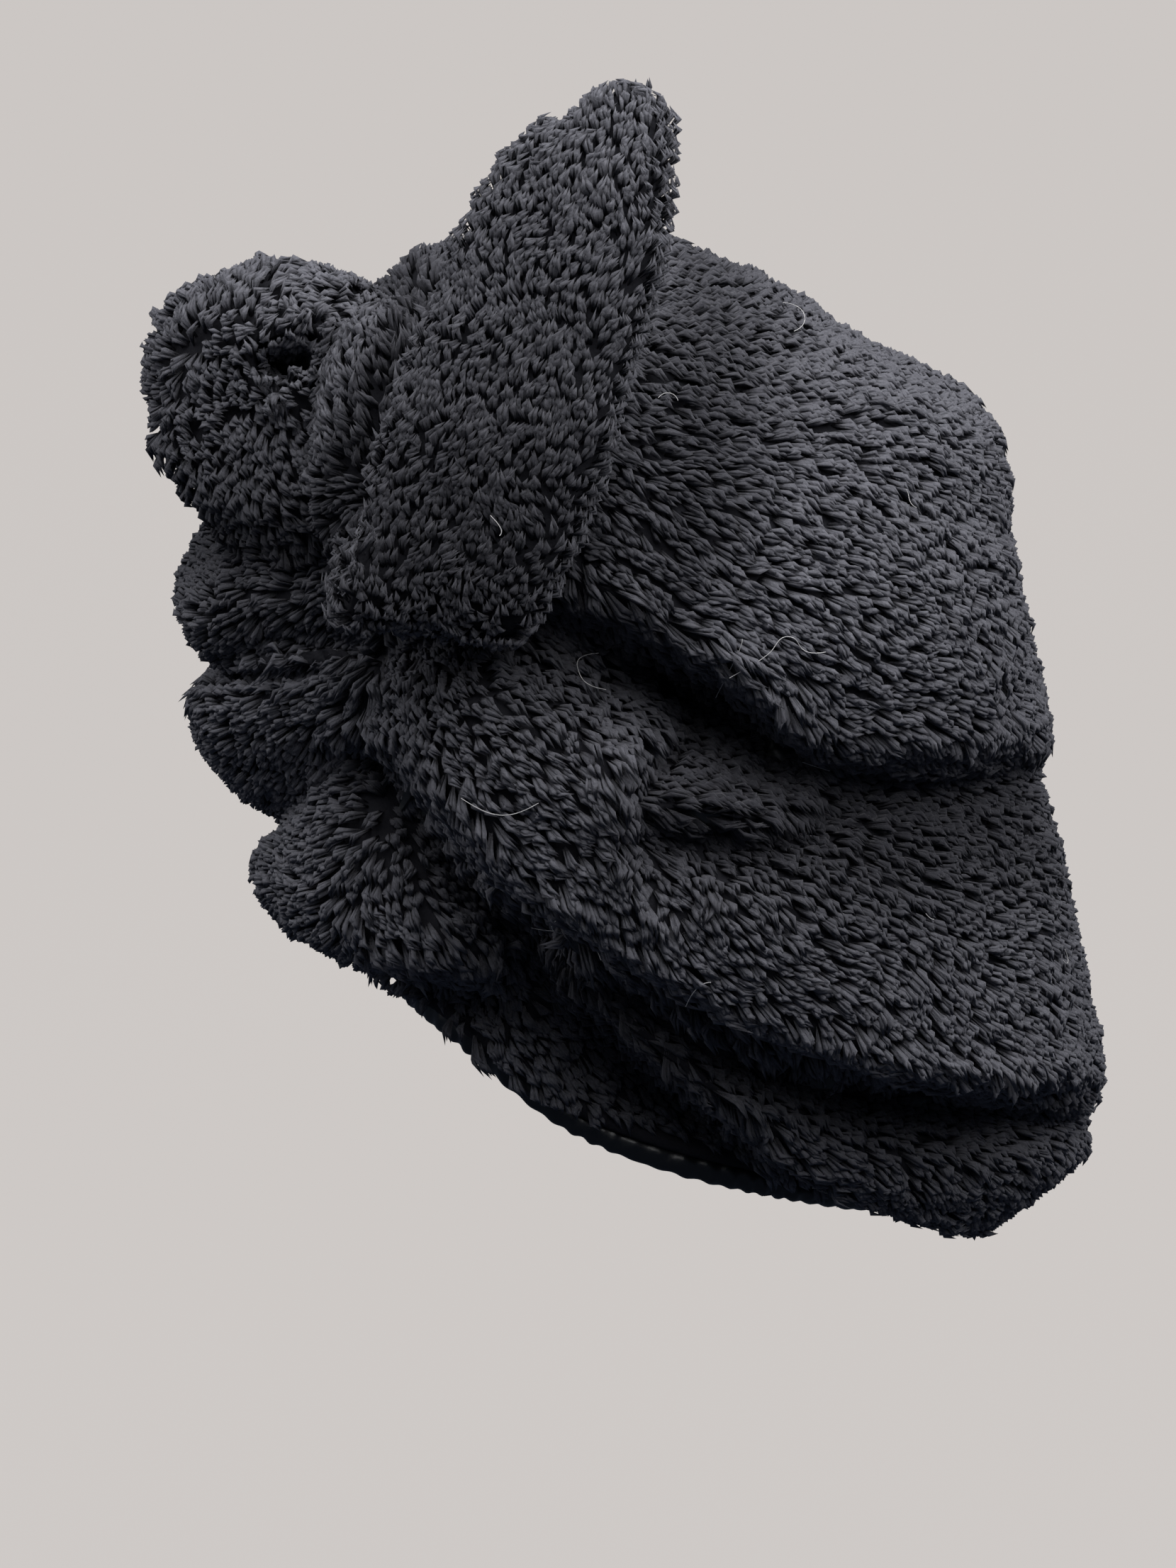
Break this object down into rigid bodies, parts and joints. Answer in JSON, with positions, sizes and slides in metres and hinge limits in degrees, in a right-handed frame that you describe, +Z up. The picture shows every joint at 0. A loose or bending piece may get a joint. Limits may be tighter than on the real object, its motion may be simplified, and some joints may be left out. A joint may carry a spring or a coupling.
{
  "type": "sleep bonnet",
  "caption": "Soft pile-fleece sleep bonnet: a deep bag that falls in rolls over hair, bound in satin at the head opening and gathered at the front under a tied bow.",
  "frame": {"origin": "centre of the head opening, where a head holds the bonnet up", "axes": "+Z up, the wearer faces -Y, +X to the wearer's left; the opening's plane slopes down from the forehead at the front to the nape at the back"},
  "size_m": [0.3011, 0.2967, 0.4136],
  "materials": {
    "pile_fleece": "long curly pile, matte, charcoal black",
    "tie_fleece": "long curly pile, matte, charcoal black",
    "loop_fleece": "long curly pile, matte, charcoal black",
    "knot_fleece": "long curly pile, matte, charcoal black",
    "satin": "soft-sheen black satin"
  },
  "bodies": {
    "root": {"bonnet_bag": "pile_fleece", "tie_end_near": "tie_fleece", "bow_loop_far": "loop_fleece", "knot_wrap": "knot_fleece", "satin_binding": "satin"}
  },
  "joints": []
}
